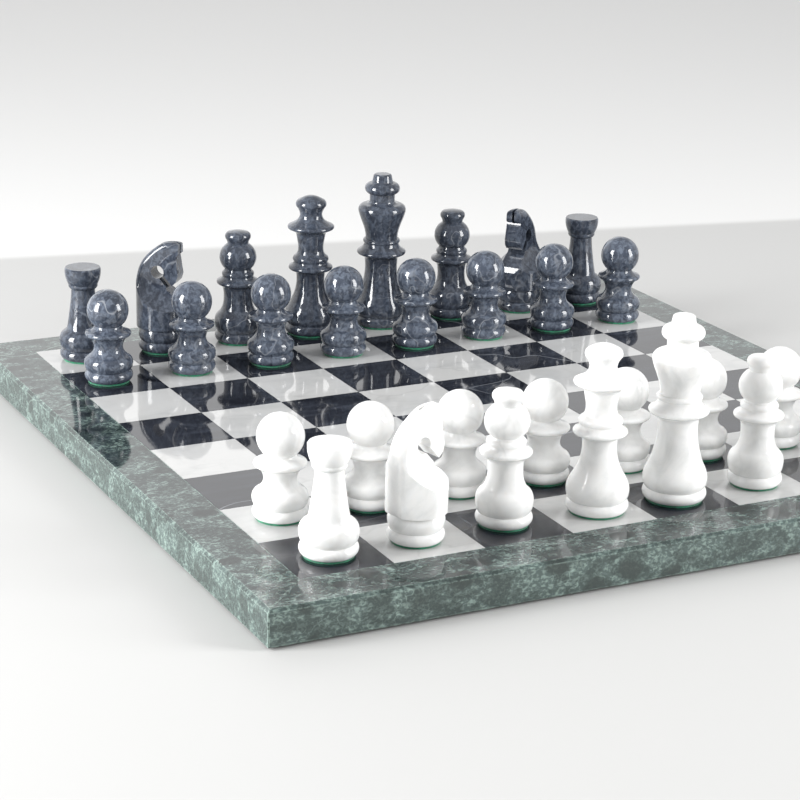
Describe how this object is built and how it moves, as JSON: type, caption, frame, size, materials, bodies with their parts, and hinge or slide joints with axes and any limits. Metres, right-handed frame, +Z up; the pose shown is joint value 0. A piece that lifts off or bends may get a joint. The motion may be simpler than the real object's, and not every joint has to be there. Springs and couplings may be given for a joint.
{
  "type": "chess set with board",
  "caption": "Polished marble chess set in its opening position: turned and carved pieces on felt, standing on an inlaid marble board with a green marble border.",
  "frame": {"origin": "centre of the board's underside, on the surface that it rests on", "axes": "+X from the a-file to the h-file, +Y from the white side to the dark side, +Z up"},
  "size_m": [0.4064, 0.4064, 0.1069],
  "materials": {
    "light_tile": "polished off-white marble",
    "dark_tile": "polished near-black veined marble",
    "green_marble": "polished green brecciated marble",
    "slab_stone": "honed pale stone",
    "white_stone": "polished milky white marble",
    "dark_stone": "polished blue-grey clouded marble",
    "piece_felt": "green felt",
    "board_felt": "green felt"
  },
  "bodies": {
    "board": {"backing_slab": "slab_stone", "board_felt": "board_felt", "light_squares": "light_tile", "dark_squares": "dark_tile", "border_front": "green_marble", "border_right": "green_marble", "border_back": "green_marble", "border_left": "green_marble"},
    "white_rook_a": {"white_rook_a": "white_stone", "white_rook_a_felt": "piece_felt"},
    "white_pawn_a": {"white_pawn_a": "white_stone"},
    "white_knight_b": {"white_knight_b": "white_stone", "white_knight_b_felt": "piece_felt"},
    "white_pawn_b": {"white_pawn_b": "white_stone"},
    "white_bishop_c": {"white_bishop_c": "white_stone", "white_bishop_c_felt": "piece_felt"},
    "white_pawn_c": {"white_pawn_c": "white_stone"},
    "white_queen_d": {"white_queen_d": "white_stone", "white_queen_d_felt": "piece_felt"},
    "white_pawn_d": {"white_pawn_d": "white_stone"},
    "white_king_e": {"white_king_e": "white_stone", "white_king_e_felt": "piece_felt"},
    "white_pawn_e": {"white_pawn_e": "white_stone"},
    "white_bishop_f": {"white_bishop_f": "white_stone", "white_bishop_f_felt": "piece_felt"},
    "white_pawn_f": {"white_pawn_f": "white_stone"},
    "white_knight_g": {"white_knight_g": "white_stone", "white_knight_g_felt": "piece_felt"},
    "white_pawn_g": {"white_pawn_g": "white_stone"},
    "white_rook_h": {"white_rook_h": "white_stone", "white_rook_h_felt": "piece_felt"},
    "white_pawn_h": {"white_pawn_h": "white_stone"},
    "dark_rook_a": {"dark_rook_a": "dark_stone", "dark_rook_a_felt": "piece_felt"},
    "dark_pawn_a": {"dark_pawn_a": "dark_stone"},
    "dark_knight_b": {"dark_knight_b": "dark_stone", "dark_knight_b_felt": "piece_felt"},
    "dark_pawn_b": {"dark_pawn_b": "dark_stone"},
    "dark_bishop_c": {"dark_bishop_c": "dark_stone", "dark_bishop_c_felt": "piece_felt"},
    "dark_pawn_c": {"dark_pawn_c": "dark_stone"},
    "dark_queen_d": {"dark_queen_d": "dark_stone", "dark_queen_d_felt": "piece_felt"},
    "dark_pawn_d": {"dark_pawn_d": "dark_stone"},
    "dark_king_e": {"dark_king_e": "dark_stone", "dark_king_e_felt": "piece_felt"},
    "dark_pawn_e": {"dark_pawn_e": "dark_stone"},
    "dark_bishop_f": {"dark_bishop_f": "dark_stone", "dark_bishop_f_felt": "piece_felt"},
    "dark_pawn_f": {"dark_pawn_f": "dark_stone"},
    "dark_knight_g": {"dark_knight_g": "dark_stone", "dark_knight_g_felt": "piece_felt"},
    "dark_pawn_g": {"dark_pawn_g": "dark_stone"},
    "dark_rook_h": {"dark_rook_h": "dark_stone", "dark_rook_h_felt": "piece_felt"},
    "dark_pawn_h": {"dark_pawn_h": "dark_stone"}
  },
  "joints": [
    {"name": "lift_white_rook_a", "type": "slide", "parent": "board", "child": "white_rook_a", "axis": [0, 0, 1], "range_m": [0, 0.12]},
    {"name": "lift_white_pawn_a", "type": "slide", "parent": "board", "child": "white_pawn_a", "axis": [0, 0, 1], "range_m": [0, 0.12]},
    {"name": "lift_white_knight_b", "type": "slide", "parent": "board", "child": "white_knight_b", "axis": [0, 0, 1], "range_m": [0, 0.12]},
    {"name": "lift_white_pawn_b", "type": "slide", "parent": "board", "child": "white_pawn_b", "axis": [0, 0, 1], "range_m": [0, 0.12]},
    {"name": "lift_white_bishop_c", "type": "slide", "parent": "board", "child": "white_bishop_c", "axis": [0, 0, 1], "range_m": [0, 0.12]},
    {"name": "lift_white_pawn_c", "type": "slide", "parent": "board", "child": "white_pawn_c", "axis": [0, 0, 1], "range_m": [0, 0.12]},
    {"name": "lift_white_queen_d", "type": "slide", "parent": "board", "child": "white_queen_d", "axis": [0, 0, 1], "range_m": [0, 0.12]},
    {"name": "lift_white_pawn_d", "type": "slide", "parent": "board", "child": "white_pawn_d", "axis": [0, 0, 1], "range_m": [0, 0.12]},
    {"name": "lift_white_king_e", "type": "slide", "parent": "board", "child": "white_king_e", "axis": [0, 0, 1], "range_m": [0, 0.12]},
    {"name": "lift_white_pawn_e", "type": "slide", "parent": "board", "child": "white_pawn_e", "axis": [0, 0, 1], "range_m": [0, 0.12]},
    {"name": "lift_white_bishop_f", "type": "slide", "parent": "board", "child": "white_bishop_f", "axis": [0, 0, 1], "range_m": [0, 0.12]},
    {"name": "lift_white_pawn_f", "type": "slide", "parent": "board", "child": "white_pawn_f", "axis": [0, 0, 1], "range_m": [0, 0.12]},
    {"name": "lift_white_knight_g", "type": "slide", "parent": "board", "child": "white_knight_g", "axis": [0, 0, 1], "range_m": [0, 0.12]},
    {"name": "lift_white_pawn_g", "type": "slide", "parent": "board", "child": "white_pawn_g", "axis": [0, 0, 1], "range_m": [0, 0.12]},
    {"name": "lift_white_rook_h", "type": "slide", "parent": "board", "child": "white_rook_h", "axis": [0, 0, 1], "range_m": [0, 0.12]},
    {"name": "lift_white_pawn_h", "type": "slide", "parent": "board", "child": "white_pawn_h", "axis": [0, 0, 1], "range_m": [0, 0.12]},
    {"name": "lift_dark_rook_a", "type": "slide", "parent": "board", "child": "dark_rook_a", "axis": [0, 0, 1], "range_m": [0, 0.12]},
    {"name": "lift_dark_pawn_a", "type": "slide", "parent": "board", "child": "dark_pawn_a", "axis": [0, 0, 1], "range_m": [0, 0.12]},
    {"name": "lift_dark_knight_b", "type": "slide", "parent": "board", "child": "dark_knight_b", "axis": [0, 0, 1], "range_m": [0, 0.12]},
    {"name": "lift_dark_pawn_b", "type": "slide", "parent": "board", "child": "dark_pawn_b", "axis": [0, 0, 1], "range_m": [0, 0.12]},
    {"name": "lift_dark_bishop_c", "type": "slide", "parent": "board", "child": "dark_bishop_c", "axis": [0, 0, 1], "range_m": [0, 0.12]},
    {"name": "lift_dark_pawn_c", "type": "slide", "parent": "board", "child": "dark_pawn_c", "axis": [0, 0, 1], "range_m": [0, 0.12]},
    {"name": "lift_dark_queen_d", "type": "slide", "parent": "board", "child": "dark_queen_d", "axis": [0, 0, 1], "range_m": [0, 0.12]},
    {"name": "lift_dark_pawn_d", "type": "slide", "parent": "board", "child": "dark_pawn_d", "axis": [0, 0, 1], "range_m": [0, 0.12]},
    {"name": "lift_dark_king_e", "type": "slide", "parent": "board", "child": "dark_king_e", "axis": [0, 0, 1], "range_m": [0, 0.12]},
    {"name": "lift_dark_pawn_e", "type": "slide", "parent": "board", "child": "dark_pawn_e", "axis": [0, 0, 1], "range_m": [0, 0.12]},
    {"name": "lift_dark_bishop_f", "type": "slide", "parent": "board", "child": "dark_bishop_f", "axis": [0, 0, 1], "range_m": [0, 0.12]},
    {"name": "lift_dark_pawn_f", "type": "slide", "parent": "board", "child": "dark_pawn_f", "axis": [0, 0, 1], "range_m": [0, 0.12]},
    {"name": "lift_dark_knight_g", "type": "slide", "parent": "board", "child": "dark_knight_g", "axis": [0, 0, 1], "range_m": [0, 0.12]},
    {"name": "lift_dark_pawn_g", "type": "slide", "parent": "board", "child": "dark_pawn_g", "axis": [0, 0, 1], "range_m": [0, 0.12]},
    {"name": "lift_dark_rook_h", "type": "slide", "parent": "board", "child": "dark_rook_h", "axis": [0, 0, 1], "range_m": [0, 0.12]},
    {"name": "lift_dark_pawn_h", "type": "slide", "parent": "board", "child": "dark_pawn_h", "axis": [0, 0, 1], "range_m": [0, 0.12]}
  ]
}
